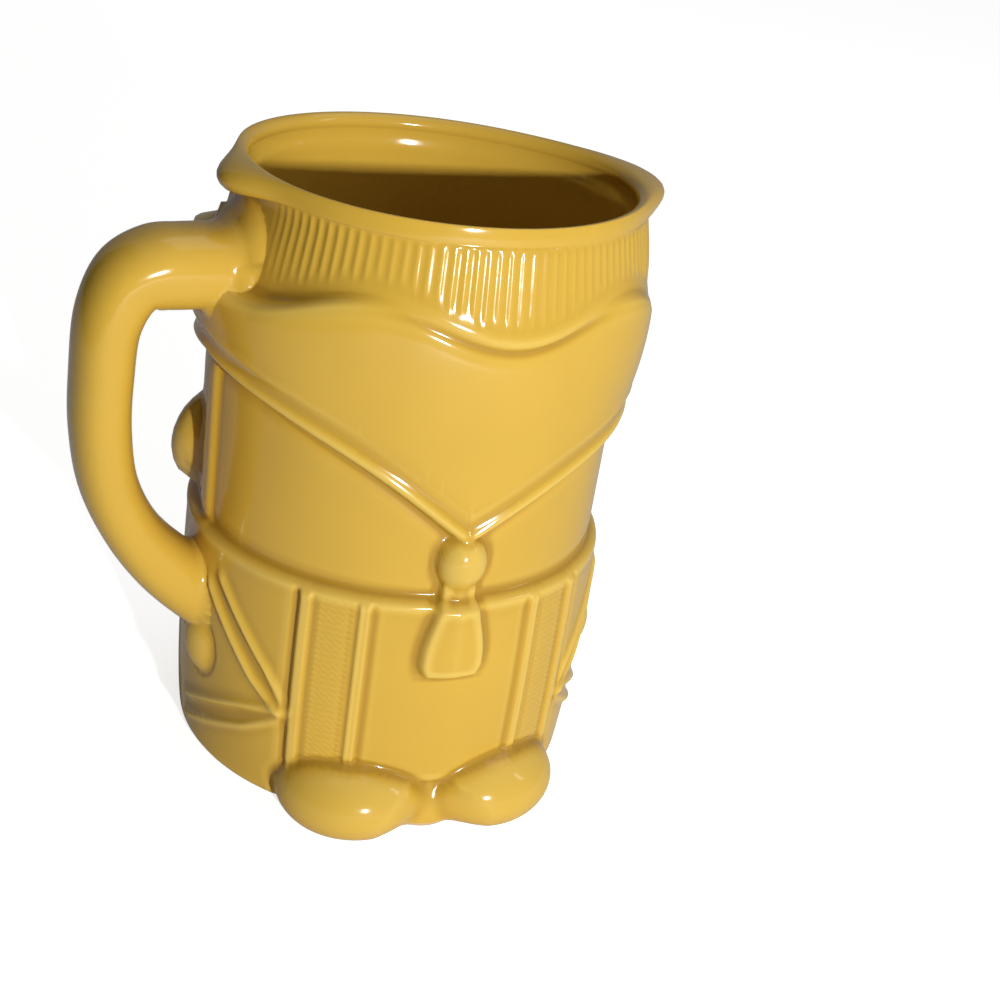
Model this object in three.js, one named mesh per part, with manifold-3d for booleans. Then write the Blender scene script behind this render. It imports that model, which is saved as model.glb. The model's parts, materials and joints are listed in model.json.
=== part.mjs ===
// A slip-cast ceramic pitcher in the tiki manner, one fired piece: a hollow round body with a poured spout, a loop
// handle, and a robed figure in relief on each broad side. Millimetres, +Z up, the origin at the middle of the flat
// underside, the spout towards +X, the handle towards -X and the dressed figure towards -Y.
import * as THREE from "three";
import { mergeVertices } from "three/addons/utils/BufferGeometryUtils.js";
import Module from "manifold-3d";

const wasm = await Module();
wasm.setup();

// Vessel
const RIM_HEIGHT = 210;
const TORSO_RADIUS = 69.5;
const WALL = 5;
const FLOOR = 7;
const BASE_EDGE = 2.5;

// Rim: a rolled lip that runs out into the spout and into a small lobe above the handle
const NECK_RADIUS = 66;
const LIP_THICKNESS = 6.6;
const LIP_DEPTH = 8;
const LIP_OVERHANG = 0.3;
const NECK_SHIFT = 6;
const NECK_SHIFT_SPREAD = 42;
const NECK_TUCK = 5;
const NECK_TUCK_SPREAD = 40;
const SPOUT_REACH = 10.5;
const SPOUT_SPREAD = 29;
const SPOUT_RISE = 0.6;
const THUMB_LOBE = 9;
const THUMB_SPREAD = 14;

// Fringe: the ribbed band under the lip, with a scalloped lower edge
const FRINGE_HEIGHT = 30.7;
const FRINGE_FLARE = 5.3;
const SCALLOPS = 5;
const SCALLOP_DEPTH = 5;
const SCALLOP_TURN = -91.5;
const RIBS = 118;
const RIB_RELIEF = 0.55;
const RIB_MARGIN = 6.5;

// Figure: degrees are counted from the figure's middle, positive towards the spout
const FIGURE_TURN = 97.5;
const HEM_TIP = 0.515;
const HEM_HANDLE_SIDE = 0.715;
const HEM_SPOUT_SIDE = 0.662;
const HEM_SPREAD = 44;
const CAPE_PROUD = 2.4;
const CAPE_BULGE = 1.4;
const SHOULDER_BULGE = 3.6;
const HEM_ROLL = 4.2;
const HEM_ROLL_PROUD = 1.3;
const WAIST = 0.418;
const SKIRT_PROUD = 3.2;
const SASH_INNER = 22;
const SASH_OUTER = 40;
const SASH_BORDER = 3.4;
const SASH_PROUD = 1.1;
const SASH_GROOVE = 1.5;

// Pieces worked on the figure
const KNOT = { across: 14.5, tall: 19, proud: 5.5, height: 0.485 };
const TAIL = { top: 0.432, bottom: 0.292, neck: 8, foot: 23, proud: 4.2 };
const FOOT = { angle: 22.2, across: 54, out: 16.2, tall: 26, core: 9, back: 11 };
const INSTEP = { out: 7, across: 34, tall: 13 };
const HAND = { angle: -76, height: 0.212, across: 23, tall: 27, proud: 4.6 };
const ARM_LOBE = { angle: -62.5, height: 0.515, across: 25, tall: 37, proud: 9.5, lean: 12 };
const STRAP = { width: 3.6, proud: 1.5, gap: 8 };
const STRAP_POINT = [41.5, 0.176];
const STRAP_HIGH = [68.5, 0.352];
const STRAP_LOW = [86, 0.055];
const SEAM_RIB = { width: 9, proud: 1.8, low: 0.4, high: 0.7 };

// Handle: centre line as [reach from the body's axis, share of the rim's height, thickness, width]
const HANDLE_FILLET = 3;
const HANDLE_TOP_FILLET = 12;
const HANDLE_LINE = [
  [-12, 0.842, 26, 31],
  [13, 0.842, 25.5, 31],
  [21.5, 0.84, 25, 30.5],
  [29.5, 0.824, 22, 29],
  [35.4, 0.77, 19.6, 28],
  [37.3, 0.676, 18.8, 27],
  [37.2, 0.588, 18.6, 27],
  [34, 0.495, 18.4, 26.5],
  [25.4, 0.408, 19, 26],
  [14.5, 0.344, 21.5, 26.5],
  [3.5, 0.298, 24, 27],
  [-10, 0.25, 26, 27],
];

// Mesh fineness
const COLUMN_STEP = 6;
const INNER_COLUMNS = 40;
const HANDLE_SIDES = 14;
const HANDLE_STEPS = 22;
const BELOW = 4;
const SMALLEST_EDGE = 0.03;

const rad = THREE.MathUtils.degToRad;
const smooth = (low, high, x) => THREE.MathUtils.smoothstep(x, low, high);
const bell = (x, spread) => Math.exp(-((x / spread) ** 2));
const mix = THREE.MathUtils.lerp;

// Azimuths in degrees, 0 at the spout and 180 at the handle.
const wrap = (azimuth) => azimuth - 360 * Math.round(azimuth / 360);
const fromMiddle = (azimuth) => FIGURE_TURN - Math.abs(wrap(azimuth));
const azimuthOf = (angle, side) => side * (FIGURE_TURN - angle);
const shiftShare = (azimuth) => bell(wrap(azimuth), NECK_SHIFT_SPREAD);
const tuckShare = (azimuth) => bell(wrap(azimuth - 180), NECK_TUCK_SPREAD);
const spoutShare = (azimuth) => bell(wrap(azimuth), SPOUT_SPREAD);
const thumbShare = (azimuth) => bell(wrap(azimuth - 180), THUMB_SPREAD);

// Heights of the lines that run round the body
const waistHeight = RIM_HEIGHT * WAIST;
const lipFoot = RIM_HEIGHT - LIP_DEPTH;

function hemHeight(azimuth) {
  const angle = fromMiddle(azimuth);
  const side = angle < 0 ? HEM_HANDLE_SIDE : HEM_SPOUT_SIDE;
  const reach = HEM_SPREAD * ((side - HEM_TIP) / (HEM_HANDLE_SIDE - HEM_TIP)) ** 0.5;
  const share = 1 - Math.exp(-((Math.abs(angle) / reach) ** 1.15) * 1.35);
  return RIM_HEIGHT * mix(HEM_TIP, side, share);
}

function fringeHeight(azimuth) {
  const wave = Math.cos(rad(SCALLOPS * (azimuth - SCALLOP_TURN)));
  return RIM_HEIGHT - FRINGE_HEIGHT - SCALLOP_DEPTH * wave;
}

// Outer radii without ribs or borders
function neckRadius(azimuth, z) {
  const rise = smooth(RIM_HEIGHT - 2 * FRINGE_HEIGHT, RIM_HEIGHT - FRINGE_HEIGHT / 2, z);
  const tuck = 1 - 0.6 * smooth(RIM_HEIGHT - 2 * LIP_DEPTH, RIM_HEIGHT, z);
  return NECK_RADIUS + NECK_SHIFT * shiftShare(azimuth) * rise - NECK_TUCK * tuckShare(azimuth) * tuck;
}

function fringeRadius(azimuth, z) {
  const down = (lipFoot - z) / (lipFoot - (RIM_HEIGHT - FRINGE_HEIGHT));
  return neckRadius(azimuth, z) + FRINGE_FLARE * down;
}

function capeRadius(azimuth, share) {
  const shoulder = smooth(20, 60, Math.abs(fromMiddle(azimuth)));
  const bulge = CAPE_BULGE + SHOULDER_BULGE * shoulder;
  return TORSO_RADIUS + CAPE_PROUD + bulge * (1 - (1 - share / 0.8) ** 2) - (1 - shoulder) * 2 * share ** 3;
}

function torsoRadius(azimuth) {
  const seam = 1 - smooth(0.25, 0.75, (rad(180 - Math.abs(wrap(azimuth))) * TORSO_RADIUS) / SEAM_RIB.width);
  return TORSO_RADIUS + SEAM_RIB.proud * seam;
}

function skirtRadius(z) {
  const down = 1 - z / waistHeight;
  return TORSO_RADIUS + SKIRT_PROUD + 2.4 * down * (1 - down) - 1.6 * down ** 4;
}

// A sash is a panel with a raised border down each side and a groove outside the outer one.
function sashRelief(azimuth) {
  const angle = Math.abs(fromMiddle(azimuth));
  const border = (SASH_BORDER / TORSO_RADIUS) * (180 / Math.PI);
  const near = (middle) => Math.max(0, 1 - Math.abs(angle - middle) / (0.55 * border));
  const borders = near(SASH_INNER + border / 2) + near(SASH_OUTER - border / 2);
  return SASH_PROUD * Math.min(1, 1.6 * borders) - SASH_GROOVE * near(SASH_OUTER + border / 2);
}

// A ring is a closed row of points round the axis, made from its azimuths, height and radius.
function ring(azimuths, heightAt, radiusAt) {
  return azimuths.map((azimuth) => {
    const z = heightAt(azimuth);
    const r = radiusAt(azimuth, z);
    return { turn: azimuth, at: [r * Math.cos(rad(azimuth)), r * Math.sin(rad(azimuth)), z] };
  });
}

function evenAzimuths(count) {
  return Array.from({ length: count }, (_, i) => (360 * i) / count);
}

// Even columns, with the sash borders' own columns in place of the even ones that lie too near them
function figureAzimuths() {
  const border = (SASH_BORDER / TORSO_RADIUS) * (180 / Math.PI);
  const edges = [SASH_INNER, SASH_INNER + border / 2, SASH_INNER + border, SASH_OUTER - border,
    SASH_OUTER - border / 2, SASH_OUTER, SASH_OUTER + border / 2, SASH_OUTER + border];
  const own = [1, -1].flatMap((side) =>
    edges.flatMap((edge) => [edge, -edge].map((angle) => (azimuthOf(angle, side) + 360) % 360)));
  const even = evenAzimuths(360 / COLUMN_STEP).filter((a) => own.every((b) => Math.abs(wrap(a - b)) > 1.2));
  return [...even, ...own].sort((a, b) => a - b);
}

// Joins each ring to the next with triangles, whatever their numbers of points, and closes both ends with a fan.
function solidOfRings(rings) {
  const positions = [];
  const faces = [];
  const starts = rings.map((row) => {
    const start = positions.length / 3;
    row.forEach((point) => positions.push(...point.at));
    return start;
  });
  const turnOf = (row, i) => row[i % row.length].turn + (i >= row.length ? 360 : 0);
  for (let k = 0; k + 1 < rings.length; k += 1) {
    const [low, high] = [rings[k], rings[k + 1]];
    const lowAt = (i) => starts[k] + (i % low.length);
    const highAt = (i) => starts[k + 1] + (i % high.length);
    let i = 0;
    let j = 0;
    while (i < low.length || j < high.length) {
      const lowNext = i < low.length ? turnOf(low, i + 1) : Infinity;
      const highNext = j < high.length ? turnOf(high, j + 1) : Infinity;
      if (lowNext <= highNext) {
        faces.push(lowAt(i), lowAt(i + 1), highAt(j));
        i += 1;
      } else {
        faces.push(lowAt(i), highAt(j + 1), highAt(j));
        j += 1;
      }
    }
  }
  const fan = (row, start, flip) => {
    const hub = positions.length / 3;
    const sum = row.reduce((a, p) => a.map((v, c) => v + p.at[c] / row.length), [0, 0, 0]);
    positions.push(...sum);
    row.forEach((_, i) => {
      const [a, b] = [start + i, start + ((i + 1) % row.length)];
      faces.push(...(flip ? [hub, b, a] : [a, b, hub]));
    });
  };
  fan(rings[0], starts[0], true);
  fan(rings.at(-1), starts.at(-1), false);
  return manifoldOf(new THREE.BufferGeometry()
    .setAttribute("position", new THREE.Float32BufferAttribute(positions, 3))
    .setIndex(faces));
}

function manifoldOf(geometry) {
  const bare = geometry.clone();
  bare.deleteAttribute("normal");
  bare.deleteAttribute("uv");
  const merged = mergeVertices(bare, 1e-4);
  return new wasm.Manifold(new wasm.Mesh({
    numProp: 3,
    vertProperties: merged.attributes.position.array,
    triVerts: new Uint32Array(merged.index.array),
  }));
}

// Moves a solid made round its own origin, with +X out of the wall and +Z up, to a place on the body.
function placed(geometry, azimuth, radius, z, lean = 0) {
  return geometry
    .clone()
    .rotateY(rad(lean))
    .translate(radius, 0, z)
    .rotateZ(rad(azimuth));
}

function egg(out, across, tall, wide = 18, high = 12) {
  return new THREE.SphereGeometry(1, wide, high).rotateX(Math.PI / 2).scale(out, across / 2, tall / 2);
}

// The body: skirt, torso, cape, fringe and lip outside, then the smooth inside down to its floor
function vessel() {
  const columns = figureAzimuths();
  const plain = evenAzimuths(360 / COLUMN_STEP);
  const ribbed = evenAzimuths(2 * RIBS);
  const inner = evenAzimuths(INNER_COLUMNS);
  const level = (z) => () => z;
  const skirt = (azimuth, z) => skirtRadius(Math.max(z, 0)) + sashRelief(azimuth) * smooth(0, 4, waistHeight - z);
  const rings = [ring(columns, level(-BELOW), () => skirtRadius(0) - BASE_EDGE)];
  rings.push(ring(columns, level(0), () => skirtRadius(0) - BASE_EDGE));
  for (const share of [0.035, 0.2, 0.45, 0.7, 0.9, 0.965]) {
    rings.push(ring(columns, level(waistHeight * share), skirt));
  }
  rings.push(ring(columns, level(waistHeight), (a) => torsoRadius(a) + SKIRT_PROUD * 0.7));
  rings.push(ring(columns, level(waistHeight + 1.2), (a) => torsoRadius(a) - 0.7));
  rings.push(ring(columns, level(waistHeight + 6), torsoRadius));
  for (const share of [0.5, 0.92]) {
    rings.push(ring(columns, (a) => mix(waistHeight, hemHeight(a), share), torsoRadius));
  }
  const hem = (rise, out) => rings.push(
    ring(columns, (a) => hemHeight(a) + rise, (a) => TORSO_RADIUS + CAPE_PROUD + out));
  hem(0, -0.8);
  hem(HEM_ROLL * 0.3, HEM_ROLL_PROUD);
  hem(HEM_ROLL * 0.75, HEM_ROLL_PROUD * 0.9);
  hem(HEM_ROLL * 1.3, 0.1);
  for (const share of [0.4, 0.7, 0.94]) {
    rings.push(ring(columns, (a) => mix(hemHeight(a), fringeHeight(a), share), (a) => capeRadius(a, share)));
  }
  rings.push(ring(ribbed, (a) => fringeHeight(a) + 0.6, fringeRadius));
  const ribRadius = (a, z) => fringeRadius(a, z) + RIB_RELIEF * (Math.round((a / 360) * 2 * RIBS) % 2 ? -1 : 0.3);
  rings.push(ring(ribbed, (a) => fringeHeight(a) + RIB_MARGIN, ribRadius));
  rings.push(ring(ribbed, level(lipFoot - 3), ribRadius));
  rings.push(...lipRings(plain));
  rings.push(...insideRings(inner));
  return solidOfRings(rings);
}

// Half the lip's thickness out from its middle line, in 6 steps over the top from outside to inside
function lipRings(azimuths) {
  const half = LIP_THICKNESS / 2;
  const top = (a) => RIM_HEIGHT - SPOUT_RISE * (1 - spoutShare(a));
  const middle = (a) => neckRadius(a, RIM_HEIGHT) - 0.6;
  const flare = (a) => SPOUT_REACH * spoutShare(a) + THUMB_LOBE * thumbShare(a);
  const over = (a) => LIP_OVERHANG + flare(a) / half;
  const droop = (a, out) => (out > 0.5 ? 0.6 * thumbShare(a) + 0.35 * spoutShare(a) : 0);
  const step = (down, out) => ring(azimuths, (a) => top(a) - down * (1 + droop(a, out)),
    (a) => middle(a) + out * half * (out > 0 ? over(a) : 1));
  return [step(LIP_DEPTH, 0.25), step(6.2, 0.8), step(4, 1.05), step(1.6, 0.8), step(0, 0.1),
    step(1.2, -0.75), step(3.8, -1.05), step(6.4, -0.65)];
}

function insideRadius(azimuth, z) {
  const belly = TORSO_RADIUS - WALL;
  return mix(belly, neckRadius(azimuth, z) - WALL, smooth(RIM_HEIGHT * 0.78, lipFoot, z));
}

// A plug that fills the inside and stops part of the way through the wall, so that no joined piece shows inside
function plugTo(depth, low) {
  const azimuths = evenAzimuths(INNER_COLUMNS);
  const row = (z) => ring(azimuths, () => z, (a) => insideRadius(a, z) + depth);
  return solidOfRings([low, ...[0.6, 0.8, 0.85, 0.9, 0.95, 1].map((share) => RIM_HEIGHT * share)].map(row));
}

function insideRings(azimuths) {
  const level = (z) => () => z;
  const rows = [0.9, 0.8, 0.6, 0.35, 0.12].map((share) => ring(azimuths, level(RIM_HEIGHT * share), insideRadius));
  rows.unshift(ring(azimuths, level(lipFoot - 3), insideRadius));
  rows.push(ring(azimuths, level(FLOOR + 4), (a, z) => insideRadius(a, z) - 2));
  rows.push(ring(azimuths, level(FLOOR), (a, z) => insideRadius(a, z) - 9));
  return rows;
}

// The handle: a rounded section carried along its centre line, spread by a fillet where it meets the body
function handle() {
  const curve = (pick) => new THREE.CatmullRomCurve3(HANDLE_LINE.map(pick), false, "centripetal");
  const line = curve(([reach, share]) => new THREE.Vector3(TORSO_RADIUS + reach, 0, RIM_HEIGHT * share));
  const size = curve(([, , thickness, width], i) => new THREE.Vector3(thickness, width, i * 20));
  const sections = [];
  for (let k = 0; k <= HANDLE_STEPS; k += 1) {
    const t = k / HANDLE_STEPS;
    const middle = line.getPoint(t);
    const along = line.getTangent(t);
    const { x: thickness, y: width } = size.getPoint(t);
    const outward = new THREE.Vector3(-along.z, 0, along.x).negate();
    const points = [];
    for (let i = 0; i < HANDLE_SIDES; i += 1) {
      const turn = (2 * Math.PI * i) / HANDLE_SIDES;
      const round = (v) => Math.sign(v) * Math.abs(v) ** 0.86;
      const across = round(Math.sin(turn)) * (width / 2);
      const up = round(Math.cos(turn)) * (thickness / 2);
      const radius = Math.hypot(middle.x + outward.x * up, across);
      const above = Math.max(outward.z * up, 0) / (thickness / 2);
      const fillet = mix(HANDLE_FILLET, HANDLE_TOP_FILLET, above ** 2 * smooth(0.7, 0.82, middle.z / RIM_HEIGHT));
      const clear = Math.min(Math.max(radius - handleWallRadius(middle.z + outward.z * up), 0), fillet);
      const spread = fillet - Math.sqrt(fillet ** 2 - (fillet - clear) ** 2);
      const grown = 1 + spread / Math.hypot(across, up);
      points.push({
        turn: (360 * i) / HANDLE_SIDES,
        at: [-(middle.x + outward.x * up * grown), -across * grown, middle.z + outward.z * up * grown],
      });
    }
    sections.push(points);
  }
  return solidOfRings(sections);
}

// The body's outer radius behind the handle, without relief
function handleWallRadius(z) {
  const share = (z - hemHeight(180)) / (fringeHeight(180) - hemHeight(180));
  if (z < waistHeight) return skirtRadius(Math.max(z, 0));
  if (share < 0) return TORSO_RADIUS;
  return share < 1 ? capeRadius(180, share) : fringeRadius(180, z);
}

const feet = (side) => [-1, 1].map((hand) => {
  const shrink = side < 0 ? 1 : 0.8;
  const foot = egg((FOOT.out + FOOT.back) * shrink, FOOT.across * shrink, FOOT.tall * 1.3 * shrink, 14, 10);
  return placed(foot, azimuthOf(hand * FOOT.angle, side), skirtRadius(0) + 1 - FOOT.back, FOOT.core * shrink);
});

const instep = () => placed(
  egg(INSTEP.out + FOOT.back, INSTEP.across, INSTEP.tall * 2, 12, 8), azimuthOf(0, -1),
  skirtRadius(0) - FOOT.back, 0);

const hands = () => [-1, 1].map((hand) => placed(
  egg(HAND.proud * 2, HAND.across, HAND.tall, 10, 8), azimuthOf(hand * HAND.angle, -1),
  skirtRadius(RIM_HEIGHT * HAND.height) - HAND.proud, RIM_HEIGHT * HAND.height));

const armLobes = () => [-1, 1].map((hand) => placed(
  egg(ARM_LOBE.proud * 1.5, ARM_LOBE.across, ARM_LOBE.tall, 10, 8), azimuthOf(hand * ARM_LOBE.angle, 1),
  TORSO_RADIUS - ARM_LOBE.proud * 0.5, RIM_HEIGHT * ARM_LOBE.height, -ARM_LOBE.lean));

const knot = () => placed(
  egg(KNOT.proud + 2, KNOT.across, KNOT.tall, 12, 8), azimuthOf(0, -1),
  TORSO_RADIUS + CAPE_PROUD - 2, RIM_HEIGHT * KNOT.height);

// The knot's hanging tail: a flared outline raised on the wall, with a bevelled edge
function tail() {
  const [top, bottom] = [RIM_HEIGHT * TAIL.top, RIM_HEIGHT * TAIL.bottom];
  const outline = new THREE.Shape();
  outline.moveTo(-TAIL.neck / 2, top);
  outline.quadraticCurveTo(-TAIL.neck / 2 - 1, mix(top, bottom, 0.4), -TAIL.foot / 2, mix(top, bottom, 0.85));
  outline.quadraticCurveTo(-TAIL.foot / 2, bottom, -TAIL.foot * 0.3, bottom);
  outline.lineTo(TAIL.foot * 0.3, bottom);
  outline.quadraticCurveTo(TAIL.foot / 2, bottom, TAIL.foot / 2, mix(top, bottom, 0.85));
  outline.quadraticCurveTo(TAIL.neck / 2 + 1, mix(top, bottom, 0.4), TAIL.neck / 2, top);
  const depth = SKIRT_PROUD + TAIL.proud;
  return new THREE.ExtrudeGeometry(outline, { depth, bevelThickness: 1.2, bevelSize: 1.2, bevelOffset: -1.2,
    bevelSegments: 1, curveSegments: 4 })
    .rotateX(Math.PI / 2)
    .rotateZ(Math.PI / 2)
    .translate(TORSO_RADIUS - 1.2, 0, 0)
    .rotateZ(rad(azimuthOf(0, -1)));
}

// Two straps, each a pair of thin rolls, meet at a point beside each sash and open towards the handle and the spout.
function straps() {
  return [-1, 1].flatMap((hand) => [STRAP_HIGH, STRAP_LOW].flatMap((end) => [-0.5, 0.5].map((roll) => {
    const points = [0, 0.25, 0.5, 0.75, 1].map((share) => {
      const along = Math.atan2(RIM_HEIGHT * (end[1] - STRAP_POINT[1]), rad(end[0] - STRAP_POINT[0]) * TORSO_RADIUS);
      const offset = roll * STRAP.gap * Math.min(1, 0.35 + share * 2);
      const angle = mix(STRAP_POINT[0], end[0], share) - (offset * Math.sin(along) / TORSO_RADIUS) * (180 / Math.PI);
      const z = RIM_HEIGHT * mix(STRAP_POINT[1], end[1], share) + offset * Math.cos(along);
      const azimuth = azimuthOf(hand * angle, -1);
      const r = skirtRadius(z) + STRAP.proud - STRAP.width / 2;
      return new THREE.Vector3(r * Math.cos(rad(azimuth)), r * Math.sin(rad(azimuth)), z);
    });
    const round = new THREE.Shape().absarc(0, 0, STRAP.width / 2, 0, 2 * Math.PI);
    return new THREE.ExtrudeGeometry(round, {
      steps: 5, curveSegments: 4, extrudePath: new THREE.CatmullRomCurve3(points),
    });
  })));
}

// Everything below the floor line is trimmed away, so that the body and the feet stand on one flat underside.
function pitcher() {
  const raised = [...feet(-1), ...feet(1), instep(), ...hands(), ...straps(), ...armLobes(), knot(), tail()];
  const middleOfWall = plugTo(WALL * 0.4, -WALL);
  const pieces = [handle(), ...raised.map(manifoldOf)].map((piece) => piece.subtract(middleOfWall));
  const whole = pieces.reduce((joined, piece) => joined.add(piece), vessel());
  const ground = manifoldOf(new THREE.BoxGeometry(600, 600, 100).translate(0, 0, -50));
  return whole.subtract(ground).asOriginal().simplify(SMALLEST_EDGE);
}

function meshOf(name, solid, material) {
  const { numProp, numVert, vertProperties, triVerts } = solid.getMesh();
  const positions = new Float32Array(numVert * 3);
  for (let i = 0; i < numVert; i += 1) {
    positions.set(vertProperties.subarray(i * numProp, i * numProp + 3), i * 3);
  }
  const geometry = new THREE.BufferGeometry()
    .setAttribute("position", new THREE.BufferAttribute(positions, 3))
    .setIndex(new THREE.BufferAttribute(triVerts, 1));
  geometry.computeVertexNormals();
  const mesh = new THREE.Mesh(geometry, material);
  mesh.name = name;
  return mesh;
}

const glaze = new THREE.MeshStandardMaterial({ color: 0xdcae4c, roughness: 0.16, metalness: 0 });

const group = new THREE.Group();
group.add(meshOf("pitcher", pitcher(), glaze));

export default group;
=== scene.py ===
"""A glazed ceramic pitcher in the tiki manner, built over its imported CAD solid.

Lengths are in millimetres and azimuths in degrees, 0 at the spout and 180 at the handle. The
studio, lights and camera are in metres, except for the camera's place.
"""

import json
import logging
import math
from dataclasses import dataclass, field
from enum import Enum

import bpy
import numpy as np
from mathutils import Matrix, Vector

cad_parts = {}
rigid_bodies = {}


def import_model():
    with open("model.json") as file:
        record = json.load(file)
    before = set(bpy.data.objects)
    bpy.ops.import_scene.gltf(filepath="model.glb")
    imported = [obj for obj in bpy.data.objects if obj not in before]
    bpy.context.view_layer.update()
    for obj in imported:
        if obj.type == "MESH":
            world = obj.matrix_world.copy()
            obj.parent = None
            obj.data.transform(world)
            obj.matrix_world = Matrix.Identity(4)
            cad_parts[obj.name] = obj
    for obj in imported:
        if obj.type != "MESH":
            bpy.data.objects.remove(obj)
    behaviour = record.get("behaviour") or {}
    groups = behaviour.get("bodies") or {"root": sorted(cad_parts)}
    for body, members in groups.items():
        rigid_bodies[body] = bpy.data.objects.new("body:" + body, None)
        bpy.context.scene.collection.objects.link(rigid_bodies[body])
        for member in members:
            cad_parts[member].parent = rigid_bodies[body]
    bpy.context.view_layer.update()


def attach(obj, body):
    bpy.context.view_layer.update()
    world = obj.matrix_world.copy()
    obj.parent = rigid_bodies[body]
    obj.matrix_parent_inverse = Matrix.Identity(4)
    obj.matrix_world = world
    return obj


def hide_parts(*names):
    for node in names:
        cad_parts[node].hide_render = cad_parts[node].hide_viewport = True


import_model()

MM = 0.001
log = logging.getLogger("pitcher")

Array = np.ndarray


class Side(Enum):
    """The two broad sides of the body, by the sign of their azimuth."""

    DRESSED = -1
    PLAIN = 1


def smooth(low: float, high: float, x: Array) -> Array:
    """Eases from 0 to 1 between two values.

    Args:
        low: Where the result leaves 0.
        high: Where the result reaches 1.
        x: Values to ease.

    Returns:
        The cubic ease of each value.
    """
    t = np.clip((x - low) / (high - low), 0.0, 1.0)
    return t * t * (3.0 - 2.0 * t)


def bell(x: Array, spread: float) -> Array:
    """Gives a bell curve of height 1 about zero.

    Args:
        x: Distances from the middle.
        spread: Distance at which the curve has fallen to 1/e.

    Returns:
        The curve's height at each distance.
    """
    return np.exp(-((x / spread) ** 2))


def wrap(azimuth: Array) -> Array:
    """Brings azimuths into the turn from -180 to 180 degrees.

    Args:
        azimuth: Azimuths.

    Returns:
        The same directions, counted from the spout.
    """
    return azimuth - 360.0 * np.round(azimuth / 360.0)


def full_turn(count: int) -> Array:
    """Spaces azimuths evenly through one turn.

    Args:
        count: Number of azimuths.

    Returns:
        Rising azimuths in degrees, the first at -180.
    """
    return -180.0 + 360.0 * np.arange(count) / count


def slab(x: Array, half: float, soft: float) -> Array:
    """Gives a flat-topped ridge with soft edges.

    Args:
        x: Distances from the ridge's middle line.
        half: Half the ridge's width at mid height.
        soft: Width of each soft edge.

    Returns:
        1 on the ridge, 0 away from it.
    """
    return 1.0 - smooth(half - soft / 2, half + soft / 2, np.abs(x))


def join(a: Array, b: Array, blend: float) -> Array:
    """Takes the larger of two radii, with a soft valley where they cross.

    Args:
        a: First radii.
        b: Second radii.
        blend: Width over which the two merge.

    Returns:
        The joined radii.
    """
    return 0.5 * (a + b + np.sqrt((a - b) ** 2 + blend**2)) - 0.5 * blend * bell(a - b, 3 * blend)


@dataclass(frozen=True)
class Figure:
    """The lines that run round the body.

    Angles are counted from the figure's middle line, positive towards the spout.
    """

    rim: float = 210.0
    turn: float = 97.5
    waist: float = 87.8
    hem_tip: float = 108.2
    hem_handle: float = 150.2
    hem_spout: float = 139.0
    hem_spread: float = 44.0
    fringe_drop: float = 30.7
    scallops: int = 5
    scallop_depth: float = 5.0
    scallop_turn: float = -91.5

    def angle(self, azimuth: Array) -> Array:
        """Counts degrees from the nearer figure's middle line.

        Args:
            azimuth: Azimuths.

        Returns:
            The turn less the azimuth's distance from the spout.
        """
        return self.turn - np.abs(wrap(azimuth))

    def hem(self, azimuth: Array) -> Array:
        """Gives the height of the cape's hem.

        The hem climbs from its tip on both sides as one minus an exponential of the angle, so it
        starts steeply and levels out near the handle and the spout.

        Args:
            azimuth: Azimuths.

        Returns:
            Heights.
        """
        angle = self.angle(azimuth)
        side = np.where(angle < 0, self.hem_handle, self.hem_spout)
        reach = self.hem_spread * np.sqrt((side - self.hem_tip) / (self.hem_handle - self.hem_tip))
        share = 1.0 - np.exp(-((np.abs(angle) / reach) ** 1.15) * 1.35)
        return self.hem_tip + (side - self.hem_tip) * share

    def fringe(self, azimuth: Array) -> Array:
        """Gives the height of the fringe's scalloped lower edge.

        Args:
            azimuth: Azimuths.

        Returns:
            Heights.
        """
        wave = np.cos(np.radians(self.scallops * (azimuth - self.scallop_turn)))
        return self.rim - self.fringe_drop - self.scallop_depth * wave


@dataclass(frozen=True)
class Mound:
    """An egg-shaped swelling on the wall: a foot, a hand, the knot or an arm.

    The egg is centred at a radius and height on the body and measured outwards, across and up.
    """

    angle: float
    radius: float
    height: float
    out: float
    across: float
    tall: float
    side: Side = Side.DRESSED
    lean: float = 0.0
    blend: float = 1.6

    def reach(self, figure: Figure, azimuth: Array, z: Array) -> Array:
        """Gives the radius at which each ray from the axis leaves the egg.

        Along a level ray the egg's equation is a quadratic in the radius, and its larger root is
        the way out. Rays that miss get 0, which lies inside the wall.

        Args:
            figure: The lines that place the egg.
            azimuth: Azimuths.
            z: Heights.

        Returns:
            Radii.
        """
        middle = self.side.value * (figure.turn - self.angle)
        off = np.radians(wrap(azimuth - middle))
        shift = np.sin(np.radians(self.lean)) * (z - self.height)
        centre = self.radius + shift
        ahead = np.cos(off)
        a = ahead**2 / self.out**2 + np.sin(off) ** 2 / self.across**2
        b = centre * ahead / self.out**2
        c = centre**2 / self.out**2 + ((z - self.height) / self.tall) ** 2 - 1.0
        root = (b + np.sqrt(np.maximum(b * b - a * c, 0.0))) / a
        return np.where((b * b > a * c) & (ahead > 0), root, 0.0)


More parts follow.
